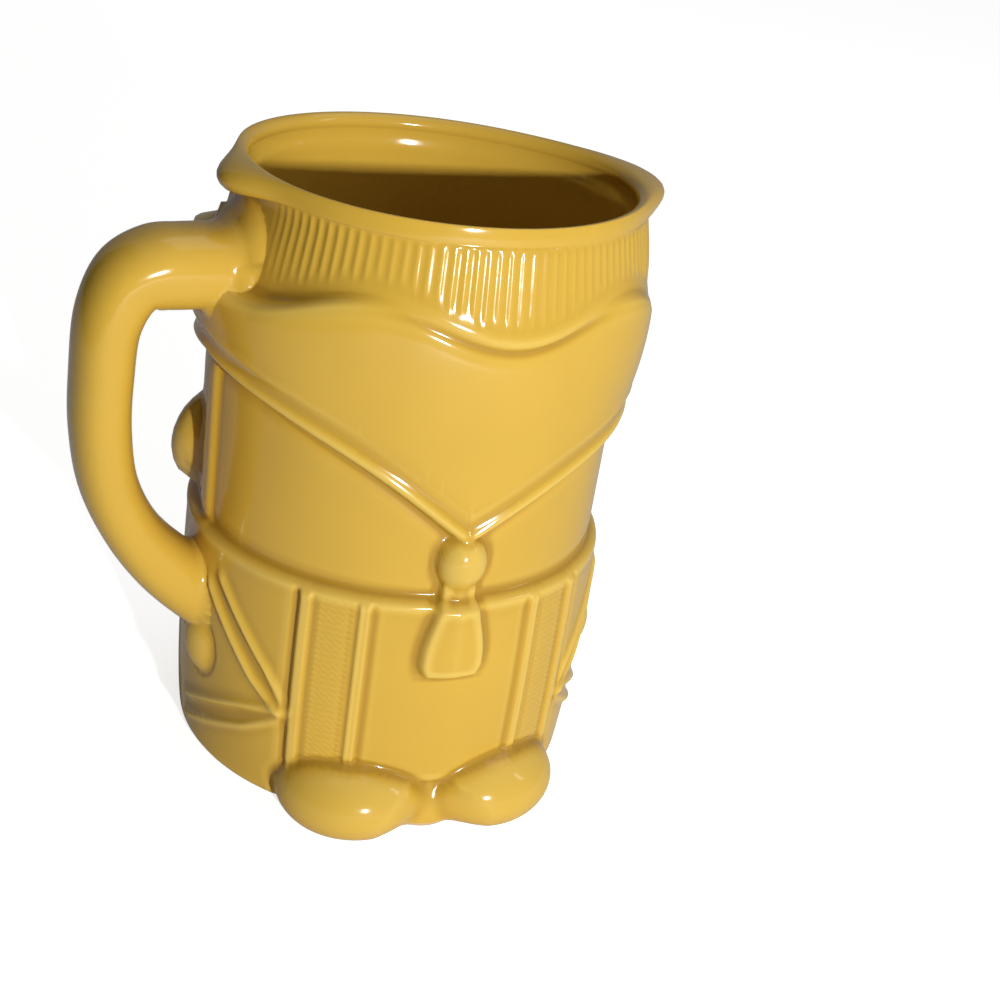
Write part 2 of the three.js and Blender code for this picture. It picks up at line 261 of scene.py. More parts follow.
@dataclass(frozen=True)
class Strap:
    """A flat strap on the skirt that runs from the point beside a sash to one end."""

    end: tuple[float, float]
    point: tuple[float, float] = (41.5, 37.0)
    gap: float = 8.0
    roll: float = 1.75
    proud: float = 1.5

    def relief(self, angle: Array, z: Array, radius: float) -> Array:
        """Gives the height of the strap's two rolled edges.

        Distances are measured on the unrolled wall, across and along the line from the point to
        the end. The two rolls close in towards the point.

        Args:
            angle: Unsigned angles from the figure's middle line, in degrees.
            z: Heights.
            radius: Radius of the wall that the strap lies on.

        Returns:
            Relief.
        """
        scale = math.radians(1.0) * radius
        along = np.array([(self.end[0] - self.point[0]) * scale, self.end[1] - self.point[1]])
        length = float(np.hypot(*along))
        way = along / length
        s = (angle - self.point[0]) * scale
        t = z - self.point[1]
        ahead = s * way[0] + t * way[1]
        across = -s * way[1] + t * way[0]
        half = self.gap / 2 * np.minimum(1.0, 0.35 + 2.0 * np.clip(ahead / length, 0.0, 1.0))
        rolls = bell(across - half, self.roll) + bell(across + half, self.roll)
        channel = 0.35 * slab(across, 3.2, 1.6)
        inside = smooth(-2.0, 1.0, ahead) * (1.0 - smooth(length - 2.0, length + 5.0, ahead))
        return (self.proud * rolls - channel) * inside


@dataclass(frozen=True)
class Tail:
    """The hanging tail under the knot: narrow at the top, flared and cut straight at the foot."""

    top: float = 95.0
    bottom: float = 61.3
    neck: float = 6.0
    foot: float = 10.8
    proud: float = 4.2

    def relief(self, across: Array, z: Array) -> Array:
        """Gives the tail's height above the skirt.

        Half its width grows with a smooth ease from neck to foot. Its section is a low crown with
        bevelled sides, and its lower corners are rounded.

        Args:
            across: Distances from the tail's middle line.
            z: Heights.

        Returns:
            Relief.
        """
        share = np.clip((self.top - z) / (self.top - self.bottom), 0.0, 1.0)
        corner = 1.6 * smooth(0.86, 1.0, share)
        half = self.neck + (self.foot - self.neck) * smooth(0.02, 0.8, share) - corner
        rel = np.abs(across) / half
        section = 0.72 * (1.0 - smooth(0.82, 1.1, rel)) + 0.28 * np.clip(1.0 - rel, 0.0, 1.0)
        ends = smooth(self.bottom - 0.7, self.bottom + 0.9, z) * (1.0 - smooth(self.top, self.top + 4.0, z))
        return self.proud * section * ends


@dataclass(frozen=True)
class Sash:
    """A hanging panel on the skirt with raised borders, a hatched field and an outer groove."""

    inner: float = 22.0
    outer: float = 40.0
    border: float = 3.4
    proud: float = 1.15
    groove: float = 1.15
    hatch_pitch: float = 2.1
    hatch_depth: float = 0.34
    low: float = 22.0
    high: float = 85.6

    def relief(self, angle: Array, z: Array, radius: float, hatched: Array) -> Array:
        """Gives the panel's height above the skirt.

        Args:
            angle: Unsigned angles from the figure's middle line, in degrees.
            z: Heights.
            radius: Radius of the wall that the panel hangs on.
            hatched: 1 where the field is hatched, 0 where it is left plain.

        Returns:
            Relief in millimetres, negative in the groove.
        """
        scale = math.radians(1.0) * radius
        across = angle * scale
        half = self.border / 2
        inner_line = self.inner * scale + half
        outer_line = self.outer * scale - half
        inner = slab(across - inner_line, half, 1.1) - 0.25 * bell(across - inner_line, 0.9)
        outer = slab(across - outer_line, half * 1.1, 1.1)
        field_half = (outer_line - inner_line) / 2 - half
        middle = (outer_line + inner_line) / 2
        inside = slab(across - middle, field_half * 0.78, 1.2)
        cut = 0.5 - 0.5 * np.cos(2.0 * np.pi * (z + 0.25 * np.sin(across * 2.1)) / self.hatch_pitch)
        hatch = self.hatch_depth * cut**1.6 * inside * hatched
        groove = self.groove * bell(across - outer_line - half - 1.9, 1.15)
        seam = 0.55 * bell(across - inner_line + half + 1.1, 0.8)
        run = smooth(self.low - 20.0, self.low - 14.0, z)
        run = run * (1.0 - smooth(self.high - 1.0, self.high + 1.2, z))
        return (self.proud * (inner + outer) + 0.35 * inside - hatch - groove - seam) * run


@dataclass(frozen=True)
class Fringe:
    """The ribbed band under the lip."""

    ribs: int = 118
    relief: float = 0.5
    margin: float = 5.0
    flare: float = 5.3
    slant: float = 0.015
    bare_behind: tuple[float, float] = (12.0, 24.0)

    def ribs_at(self, azimuth: Array, z: Array, foot: Array, top: float) -> Array:
        """Gives the ribs' height.

        Each rib is a rounded ridge between narrow cuts. The ribs lean a little one way and the
        other round the body. They fade out above the scalloped edge, below the lip and behind the
        handle.

        Args:
            azimuth: Azimuths.
            z: Heights.
            foot: Height of the fringe's lower edge at each azimuth.
            top: Height at which the ribs end.

        Returns:
            Relief in millimetres, between minus and plus half the ribs' depth.
        """
        lean = self.slant * (z - top) * np.sin(np.radians(azimuth * 1.0 + 40.0))
        phase = np.radians(self.ribs * (azimuth + lean))
        wave = np.cos(phase + 0.35 * np.sin(phase))
        uneven = 0.82 + 0.18 * np.sin(np.radians(7.0 * azimuth) + 0.6 * np.sin(np.radians(19.0 * azimuth)))
        length = foot + self.margin + 1.8 * np.sin(np.radians(23.0 * azimuth)) ** 2
        run = smooth(-1.5, 3.5, z - length) * (1.0 - smooth(top - 2.2, top + 0.5, z))
        from_handle = 180.0 - np.abs(wrap(azimuth))
        return 0.5 * self.relief * wave * uneven * run * smooth(*self.bare_behind, from_handle)


@dataclass(frozen=True)
class Lip:
    """The rolled lip, with its spout and the small lobe above the handle."""

    neck: float = 66.0
    shift: float = 6.0
    shift_spread: float = 42.0
    shift_from: float = 148.6
    shift_to: float = 194.6
    tuck: float = 5.0
    tuck_spread: float = 40.0
    thickness: float = 6.6
    depth: float = 6.4
    overhang: float = 0.12
    spout_reach: float = 11.0
    spout_spread: float = 22.0
    spout_rise: float = 0.6
    lobe: float = 8.8
    lobe_spread: float = 14.0
    tilt: float = 0.09
    roll_from_to: tuple[float, float] = (-52.0, 222.0)

    def spout(self, azimuth: Array) -> Array:
        """Gives the spout's share of the lip at each azimuth.

        Args:
            azimuth: Azimuths.

        Returns:
            1 at the spout's middle, falling to 0 away from it.
        """
        return bell(wrap(azimuth), self.spout_spread)

    def thumb(self, azimuth: Array) -> Array:
        """Gives the share of the lobe above the handle.

        Args:
            azimuth: Azimuths.

        Returns:
            1 above the handle, falling to 0 away from it.
        """
        return bell(wrap(azimuth - 180.0), self.lobe_spread)

    def neck_radius(self, azimuth: Array, z: Array, rim: float) -> Array:
        """Gives the neck's outer radius, which shifts towards the spout as it rises.

        Args:
            azimuth: Azimuths.
            z: Heights.
            rim: Height of the rim.

        Returns:
            Radii.
        """
        wrapped = wrap(azimuth)
        back = 180.0 - np.abs(wrapped)
        rise = smooth(self.shift_from, self.shift_to, z)
        hold = 1.0 - 0.6 * smooth(rim - 2.0 * self.depth, rim, z)
        ahead = self.shift * bell(wrapped, self.shift_spread) * rise
        return self.neck + ahead - self.tuck * bell(back, self.tuck_spread) * hold

    def section(self, azimuth: Array, turn: Array, rim: float) -> tuple[Array, Array]:
        """Carries the lip's rolled section over the top, from outside to inside.

        Args:
            azimuth: Azimuths, one per column.
            turn: Angles round the roll in radians, one per row, 0 facing out.
            rim: Height of the rim.

        Returns:
            Radii and heights, one row per turn.
        """
        spout, thumb = self.spout(azimuth), self.thumb(azimuth)
        half = self.thickness / 2
        out = np.cos(turn)[:, None]
        down = self.depth / 2 * (1.0 - np.sin(turn))[:, None]
        over = self.overhang + (self.spout_reach * spout + self.lobe * thumb) / half
        side = np.where(out > 0, over, 1.0)
        middle = self.neck_radius(azimuth, np.full_like(azimuth, rim), rim) - 0.6
        plain = (1.0 - spout) * (1.0 - thumb)
        slope = self.tilt * np.where(out > 0, self.depth - down, self.depth) - self.tilt * self.depth
        radius = middle + 1.05 * half * out * side - plain * slope
        droop = 1.0 + (0.6 * thumb + 0.35 * spout) * smooth(0.1, 0.8, out)
        height = rim - self.spout_rise * (1.0 - spout) - down * droop
        return radius, height


@dataclass(frozen=True)
class Roll:
    """A long soft ridge, or valley where it is negative, that follows an edge."""

    proud: float
    above: float
    spread: float

    def relief(self, above_edge: Array) -> Array:
        """Gives the roll's height.

        Args:
            above_edge: Distances above the edge that the roll follows.

        Returns:
            Relief.
        """
        return self.proud * bell(above_edge - self.above, self.spread)


@dataclass(frozen=True)
class Wall:
    """The body's sizes away from its relief.

    Each drift is a slow wave of the cast wall: its size, waves per turn, length upwards and phase.
    """

    torso: float = 69.5
    skirt_proud: float = 3.2
    cape_proud: float = 2.4
    cape_bulge: float = 1.4
    shoulder_bulge: float = 3.6
    thickness: float = 5.0
    floor: float = 7.0
    corner: float = 12.0
    base_edge: float = 2.5
    seam_width: float = 9.0
    seam_proud: float = 1.8
    waist_rolls: tuple[Roll, ...] = (Roll(0.3, -2.8, 2.2), Roll(-0.45, 1.9, 1.7))
    hem_rolls: tuple[Roll, ...] = (
        Roll(1.35, 2.3, 1.75),
        Roll(-0.55, -1.6, 1.7),
        Roll(0.45, 10.2, 1.3),
        Roll(-0.4, 6.9, 2.1),
    )
    fringe_rolls: tuple[Roll, ...] = (Roll(0.55, 1.9, 2.2), Roll(-0.85, -1.4, 1.7))
    drifts: tuple[tuple[float, float, float, float], ...] = (
        (0.10, 3.0, 31.0, 0.0),
        (0.05, 7.0, -17.0, 1.3),
        (0.03, 13.0, 11.0, 2.1),
    )


@dataclass(frozen=True)
class Grid:
    """How finely the body is meshed; sparse and extra weigh the columns over the figure."""

    figure_columns: int = 432
    sparse: float = 0.62
    extra: float = 1.9
    rib_columns: int = 6
    lip_columns: int = 360
    lip_rows: int = 20
    inner_columns: int = 144


@dataclass
class Body:
    """The cast body: skirt, torso, cape, fringe and lip outside, and the smooth inside."""

    figure: Figure = field(default_factory=Figure)
    lip: Lip = field(default_factory=Lip)
    wall: Wall = field(default_factory=Wall)
    fringe: Fringe = field(default_factory=Fringe)
    sash: Sash = field(default_factory=Sash)
    tail: Tail = field(default_factory=Tail)
    grid: Grid = field(default_factory=Grid)
    straps: tuple[Strap, ...] = (Strap((68.5, 74.0)), Strap((86.0, 11.5)))
    mounds: tuple[Mound, ...] = (
        Mound(-22.2, 61.1, 9.0, 26.0, 26.9, 16.9),
        Mound(22.2, 61.1, 9.0, 26.0, 26.9, 16.9),
        Mound(0.0, 60.2, 3.0, 16.2, 15.0, 15.0, blend=5.0),
        Mound(-22.2, 61.1, 7.2, 20.8, 21.2, 13.5, Side.PLAIN),
        Mound(22.2, 61.1, 7.2, 20.8, 21.2, 13.5, Side.PLAIN),
        Mound(-76.0, 68.4, 44.5, 9.2, 11.5, 13.5),
        Mound(76.0, 68.4, 44.5, 9.2, 11.5, 13.5),
        Mound(-62.5, 64.8, 108.2, 14.2, 12.5, 18.5, Side.PLAIN, lean=-12.0),
        Mound(62.5, 64.8, 108.2, 14.2, 12.5, 18.5, Side.PLAIN, lean=-12.0),
        Mound(0.0, 69.4, 101.6, 7.9, 8.6, 10.0, blend=2.0),
    )

    def skirt_radius(self, z: Array) -> Array:
        """Gives the skirt's radius, fullest half way down.

        Args:
            z: Heights.

        Returns:
            Radii.
        """
        down = 1.0 - np.clip(z, 0.0, self.figure.waist) / self.figure.waist
        full = 2.4 * down * (1.0 - down) - 1.6 * down**4
        return self.wall.torso + self.wall.skirt_proud + full

    def seam(self, azimuth: Array) -> Array:
        """Gives the low vertical rib behind the handle.

        Args:
            azimuth: Azimuths.

        Returns:
            Relief.
        """
        across = np.radians(180.0 - np.abs(wrap(azimuth))) * self.wall.torso / self.wall.seam_width
        return self.wall.seam_proud * (1.0 - smooth(0.25, 0.75, across))

    def cape_radius(self, azimuth: Array, share: Array) -> Array:
        """Gives the cape's radius between hem and fringe.

        Args:
            azimuth: Azimuths.
            share: 0 at the hem and 1 at the fringe.

        Returns:
            Radii.
        """
        shoulder = smooth(20.0, 60.0, np.abs(self.figure.angle(azimuth)))
        bulge = self.wall.cape_bulge + self.wall.shoulder_bulge * shoulder
        round_over = 1.0 - (1.0 - share / 0.8) ** 2
        tuck = (1.0 - shoulder) * 2.0 * share**3
        return self.wall.torso + self.wall.cape_proud + bulge * round_over - tuck

    def smooth_radius(self, azimuth: Array, z: Array) -> Array:
        """Gives the outer radius with the steps at waist, hem and fringe but no fine relief.

        Args:
            azimuth: Azimuths.
            z: Heights.

        Returns:
            Radii.
        """
        figure, wall = self.figure, self.wall
        hem, foot = figure.hem(azimuth), figure.fringe(azimuth)
        slope = np.gradient(hem, axis=-1) / np.maximum(np.gradient(azimuth, axis=-1), 1e-6)
        lean = 1.0 / np.sqrt(1.0 + (slope / (math.radians(1.0) * wall.torso)) ** 2)
        above_hem = (z - hem) * lean
        above_waist = z - figure.waist
        torso = wall.torso + self.seam(azimuth) * smooth(-2.0, 3.0, above_waist)
        skirt = self.skirt_radius(z) - wall.torso
        radius = torso + skirt * (1.0 - smooth(-1.9, 1.5, above_waist))
        radius += sum(roll.relief(above_waist) for roll in wall.waist_rolls)
        share = np.clip((z - hem) / (foot - hem), 0.0, 1.0)
        cape = self.cape_radius(azimuth, share) - torso
        radius += cape * smooth(-0.9, 1.3, above_hem)
        radius += sum(roll.relief(above_hem) for roll in wall.hem_rolls)
        down = (figure.rim - self.lip.depth - z) / (figure.fringe_drop - self.lip.depth)
        neck = self.lip.neck_radius(azimuth, z, figure.rim) + self.fringe.flare * down
        onto = smooth(-1.6, 1.8, z - foot)
        radius = radius * (1.0 - onto) + neck * onto
        radius += sum(roll.relief(z - foot) for roll in wall.fringe_rolls)
        edge = np.clip(1.0 - z / 3.0, 0.0, 1.0)
        return radius - wall.base_edge * edge**2

    def fine_relief(self, azimuth: Array, z: Array) -> Array:
        """Gives the small worked relief: ribs, sashes, straps and tail.

        Args:
            azimuth: Azimuths.
            z: Heights.

        Returns:
            Relief.
        """
        figure = self.figure
        angle = figure.angle(azimuth)
        dressed = (wrap(azimuth) < 0).astype(float)
        radius = self.wall.torso + self.wall.skirt_proud
        foot = figure.fringe(azimuth)
        total = self.fringe.ribs_at(azimuth, z, foot, figure.rim - self.lip.depth)
        total += self.sash.relief(np.abs(angle), z, radius, dressed)
        skirt = 1.0 - smooth(figure.waist - 4.0, figure.waist - 1.0, z)
        for strap in self.straps:
            total += strap.relief(np.abs(angle), z, radius) * dressed * skirt
        total += self.tail.relief(np.radians(angle) * radius, z) * dressed
        return total

    def outer_radius(self, azimuth: Array, z: Array) -> Array:
        """Gives the finished outer radius below the lip.

        Args:
            azimuth: Azimuths.
            z: Heights.

        Returns:
            Radii.
        """
        radius = self.smooth_radius(azimuth, z) + self.fine_relief(azimuth, z)
        for mound in self.mounds:
            radius = join(radius, mound.reach(self.figure, azimuth, z), mound.blend)
        turn, drift = np.radians(azimuth), np.zeros_like(radius)
        for size, waves, length, phase in self.wall.drifts:
            drift += size * np.sin(waves * turn + z / length + phase)
        return radius + drift * smooth(0.0, 12.0, z)

    def inner_radius(self, azimuth: Array, z: Array) -> Array:
        """Gives the inside's radius between the floor's corner and the lip.

        Args:
            azimuth: Azimuths.
            z: Heights.

        Returns:
            Radii.
        """
        rim = self.figure.rim
        belly = self.wall.torso - self.wall.thickness
        neck = self.lip.neck_radius(azimuth, z, rim) - self.wall.thickness
        part = smooth(rim * 0.78, rim - self.lip.depth, z)
        return belly + (neck - belly) * part

    def figure_columns(self) -> Array:
        """Spaces the columns closely over the dressed side and widely over the plain side.

        Returns:
            Azimuths, rising through one turn.
        """
        steps = np.linspace(-180.0, 180.0, 4001)
        middle = -self.figure.turn
        near = 1.0 - smooth(68.0, 100.0, np.abs(steps - middle))
        density = self.grid.sparse + self.grid.extra * near
        total = np.concatenate([[0.0], np.cumsum(0.5 * (density[1:] + density[:-1]))])
        count = self.grid.figure_columns
        return np.interp(np.arange(count) / count * total[-1], total, steps)

    def figure_rows(self, azimuth: Array) -> Array:
        """Lays out the rows from the underside to the fringe, some level and some with the hem.

        Rows are level up to the waist. Above it they are shared out between waist, hem and
        fringe, so that they follow both edges.

        Args:
            azimuth: Azimuths, one per column.

        Returns:
            Heights, one row per level.
        """
        waist = self.figure.waist
        hem, foot = self.figure.hem(azimuth), self.figure.fringe(azimuth)
        at_base, over_feet = [0.0, 0.6, 1.4, 2.4], np.linspace(4.0, 18.0, 9)
        low = np.concatenate([at_base, over_feet, np.linspace(19.0, waist - 3.4, 88)])
        at_waist = waist + np.array([-2.8, -2.2, -1.6, -1.0, -0.5, 0.0, 0.6, 1.2, 2.0, 3.0])
        level = np.concatenate([low, at_waist])[:, None] + 0.0 * azimuth[None, :]
        torso = np.linspace(0.0, 1.0, 15)[1:-1, None]
        torso_rows = (waist + 3.0) + (hem - 3.6 - waist - 3.0) * torso
        under_hem, over_hem = [-3.6, -2.6, -1.7, -0.9, -0.2], [0.5, 1.2, 2.0, 2.8, 3.6, 4.5, 5.6]
        around_hem = np.concatenate([under_hem, over_hem, [7.0, 8.4, 9.6, 10.8, 12.2]])
        hem_rows = hem + around_hem[:, None] * np.minimum(1.0, (foot - hem) / 40.0)
        start = hem_rows[-1]
        cape_rows = start + (foot - 4.2 - start) * np.linspace(0.0, 1.0, 12)[1:, None]
        fringe_rows = foot + np.array([-3.2, -2.4, -1.6, -0.8, 0.0])[:, None]
        return np.concatenate([level, torso_rows, hem_rows, cape_rows, fringe_rows])

    def build(self) -> "Shell":
        """Builds the whole closed surface, outside and inside.

        Returns:
            The body's shell.
        """
        figure, lip = self.figure, self.lip
        shell = Shell()
        plain = self.figure_columns()
        rows = self.figure_rows(plain)
        azimuth = np.broadcast_to(plain, rows.shape)
        shell.add_rows(azimuth, self.outer_radius(azimuth, rows), rows)
        ribbed = full_turn(self.fringe.ribs * self.grid.rib_columns)
        foot = figure.fringe(ribbed)
        top = figure.rim - lip.depth
        low, high = np.linspace(0.03, 0.4, 8), np.linspace(0.87, 1.0, 5)
        share = np.concatenate([low, np.linspace(0.46, 0.84, 6), high])
        rib_rows = foot + (top - foot) * share[:, None]
        azimuth = np.broadcast_to(ribbed, rib_rows.shape)
        shell.add_rows(azimuth, self.outer_radius(azimuth, rib_rows), rib_rows)
        even = full_turn(self.grid.lip_columns)
        turn = np.radians(np.linspace(*lip.roll_from_to, self.grid.lip_rows))
        radius, height = lip.section(even, turn, figure.rim)
        shell.add_rows(np.broadcast_to(even, radius.shape), radius, height)
        sparse = full_turn(self.grid.inner_columns)
        bend_from = self.wall.floor + self.wall.corner
        levels = np.concatenate([np.linspace(top - 3.0, 150.0, 14), np.linspace(140.0, bend_from, 10)])
        inside = levels[:, None] + 0.0 * sparse[None, :]
        azimuth = np.broadcast_to(sparse, inside.shape)
        shell.add_rows(azimuth, self.inner_radius(azimuth, inside), inside)
        bend = np.linspace(0.0, math.pi / 2, 9)[1:, None]
        start = self.inner_radius(sparse, np.full_like(sparse, bend_from))
        corner_radius = start - self.wall.corner * (1.0 - np.cos(bend))
        corner_height = self.wall.floor + self.wall.corner * (1.0 - np.sin(bend)) + 0.0 * sparse
        shell.add_rows(np.broadcast_to(sparse, corner_radius.shape), corner_radius, corner_height)
        shell.add_rows(sparse[None, :], corner_radius[-1:] * 0.45, corner_height[-1:])
        shell.close()
        return shell


@dataclass
class Shell:
    """A closed surface made of rings of points, each ring stitched to the next."""

    points: list[Array] = field(default_factory=list)
    turns: list[Array] = field(default_factory=list)
    faces: list[Array] = field(default_factory=list)

    def add_rows(self, azimuth: Array, radius: Array, height: Array) -> None:
        """Adds rings about the upright axis.

        Args:
            azimuth: Azimuths, rising along each row.
            radius: Radii.
            height: Heights.
        """
        turn = np.radians(azimuth)
        xyz = np.stack([radius * np.cos(turn), radius * np.sin(turn), height + 0.0 * radius], axis=-1)
        for row, angles in zip(xyz, azimuth):
            self.add_ring(row, angles)

    def add_ring(self, ring: Array, angles: Array) -> None:
        """Adds one ring and stitches it to the last.

        Each edge of either ring takes the nearest point of the other ring, counted by how many of
        the other ring's edge middles lie before its own.

        Args:
            ring: Points of the ring.
            angles: Rising angles that match the points, in degrees.
        """
        start = sum(len(p) for p in self.points)
        if self.points:
            below, low = start - len(self.points[-1]), self.turns[-1]
            n, m = len(low), len(angles)
            low_mid = 0.5 * (low + np.append(low[1:], low[0] + 360.0))
            high_mid = 0.5 * (angles + np.append(angles[1:], angles[0] + 360.0)) + 1e-7
            i, j = np.arange(n), np.arange(m)
            top = np.searchsorted(high_mid, low_mid) % m
            bottom = np.searchsorted(low_mid, high_mid) % n
            up = np.stack([below + i, below + (i + 1) % n, start + top], axis=1)
            down = np.stack([start + (j + 1) % m, start + j, below + bottom], axis=1)
            self.faces += [up, down]
        self.points.append(ring)
        self.turns.append(angles)

    def close(self) -> None:
        """Closes both ends with a fan about the end ring's middle."""
        first, last = self.points[0], self.points[-1]
        count = sum(len(p) for p in self.points)
        begin = count - len(last)
        i, j = np.arange(len(first)), np.arange(len(last))
        self.points += [first.mean(axis=0, keepdims=True), last.mean(axis=0, keepdims=True)]
        under = [(i + 1) % len(first), i, np.full_like(i, count)]
        over = [begin + j, begin + (j + 1) % len(last), np.full_like(j, count + 1)]
        self.faces += [np.stack(under, axis=1), np.stack(over, axis=1)]

    def to_object(self, name: str) -> bpy.types.Object:
        """Makes the shell a Blender object in the row frame.

        Args:
            name: The object's name.

        Returns:
            The linked object, its place in its vertices.
        """
        points = np.concatenate(self.points) * MM
        faces = np.concatenate(self.faces)
        mesh = bpy.data.meshes.new(name)
        mesh.from_pydata(points.tolist(), [], faces.tolist())
        mesh.polygons.foreach_set("use_smooth", np.ones(len(mesh.polygons), dtype=bool))
        mesh.update()
        thing = bpy.data.objects.new(name, mesh)
        bpy.context.scene.collection.objects.link(thing)
        return thing


@dataclass
class Handle:
    """The loop handle: a rounded section carried along a bowed line and flared at both roots.

    Stations are reach from the wall, height, thickness and width.
    """

    body: Body
    fillet: float = 3.0
    top_fillet: float = 9.0
    even_out: float = 9.0
    squareness: float = 0.86
    stations: tuple[tuple[float, float, float, float], ...] = (
        (-12.0, 176.8, 26.0, 31.0),
        (13.0, 176.8, 25.5, 31.0),
        (21.5, 176.4, 25.0, 30.5),
        (29.5, 173.0, 22.0, 29.0),
        (35.4, 161.7, 19.6, 28.0),
        (37.3, 142.0, 18.8, 27.0),
        (37.2, 123.5, 18.6, 27.0),
        (34.0, 104.0, 18.4, 26.5),
        (25.4, 85.7, 19.0, 26.0),
        (14.5, 72.2, 21.5, 26.5),
        (3.5, 62.6, 24.0, 27.0),
        (-10.0, 52.5, 26.0, 27.0),
    )
    steps: int = 96
    sides: int = 56

    def squared(self, wave: Array) -> Array:
        """Fills out a sine or cosine, which squares the section a little.

        Args:
            wave: Values from -1 to 1.

        Returns:
            The fuller values.
        """
        return np.sign(wave) * np.abs(wave) ** self.squareness

    def curve(self, values: Array, count: int) -> Array:
        """Draws a centripetal Catmull-Rom curve through the stations.

        Each span blends its four nearest stations, with knots spaced by the square root of the
        distance between them.

        Args:
            values: Stations, one per row.
            count: Number of points wanted.

        Returns:
            Points spread evenly over the spans.
        """
        ends = np.concatenate([2 * values[:1] - values[1:2], values, 2 * values[-1:] - values[-2:-1]])
        gaps = np.maximum(np.linalg.norm(np.diff(ends[:, :2], axis=0), axis=1) ** 0.5, 1e-6)
        knots = np.concatenate([[0.0], np.cumsum(gaps)])
        place = np.linspace(0.0, len(values) - 1 - 1e-9, count)
        k = place.astype(int)
        t = (knots[k + 1] + (place - k) * (knots[k + 2] - knots[k + 1]))[:, None]
        p = [ends[k + i] for i in range(4)]
        n = [knots[k + i][:, None] for i in range(4)]
        for level in (1, 2):
            p = [
                ((n[i + level] - t) * p[i] + (t - n[i]) * p[i + 1]) / (n[i + level] - n[i])
                for i in range(len(p) - 1)
            ]
        return ((n[2] - t) * p[0] + (t - n[1]) * p[1]) / (n[2] - n[1])

    def build(self) -> Shell:
        """Sweeps the section along the curve.

        Near the wall every point is pushed out from the section's middle by the drop of a
        quarter circle, which gives the roots their fillets. The wall's steps are evened out for
        this over a few millimetres of height.

        Returns:
            The handle's closed shell, both ends inside the wall.
        """
        stations = np.array(self.stations)
        line = self.curve(stations, self.steps)
        along = np.gradient(line[:, :2], axis=0)
        along /= np.linalg.norm(along, axis=1, keepdims=True)
        outward = np.stack([-along[:, 1], along[:, 0]], axis=1)[:, None, :]
        turn = 2.0 * np.pi * np.arange(self.sides) / self.sides
        thick = self.squared(np.cos(turn)) * line[:, 2:3] / 2
        width = self.squared(np.sin(turn)) * line[:, 3:4] / 2
        reach = self.body.wall.torso + line[:, 0:1] + outward[..., 0] * thick
        height = line[:, 1:2] + outward[..., 1] * thick
        azimuth = np.degrees(np.arctan2(width, -reach))
        order = np.argsort(azimuth % 360.0, axis=1)
        ordered = np.take_along_axis(azimuth % 360.0, order, axis=1)
        level = np.take_along_axis(height, order, axis=1)
        steps = np.linspace(-self.even_out, self.even_out, 7)
        wall = np.mean([self.body.smooth_radius(ordered, level + step) for step in steps], axis=0)
        back = np.argsort(order, axis=1)
        clear = np.hypot(reach, width) - np.take_along_axis(wall, back, axis=1)
        above = np.maximum(outward[..., 1] * thick, 0.0) / (line[:, 2:3] / 2)
        upper = smooth(0.7, 0.82, line[:, 1:2] / self.body.figure.rim)
        fillet = self.fillet + (self.top_fillet - self.fillet) * above**2 * upper
        clear = np.clip(clear, 0.0, fillet)
        spread = fillet - np.sqrt(fillet**2 - (fillet - clear) ** 2)
        grown = 1.0 + spread / np.hypot(thick, width)
        x = -(self.body.wall.torso + line[:, 0:1] + outward[..., 0] * thick * grown)
        z = line[:, 1:2] + outward[..., 1] * thick * grown
        shell = Shell()
        for ring in np.stack([x, width * grown, z], axis=-1):
            shell.add_ring(ring, np.degrees(turn))
        shell.close()
        return shell


def add_node(tree: bpy.types.NodeTree, kind: str, **values: float) -> bpy.types.Node:
    """Adds a shader node and sets its inputs.

    Args:
        tree: The material's nodes.
        kind: The node's type.
        values: Input values by name, with _ for a space.

    Returns:
        The new node.
    """
    node = tree.nodes.new(f"ShaderNode{kind}")
    for name, value in values.items():
        node.inputs[name.replace("_", " ")].default_value = value
    return node


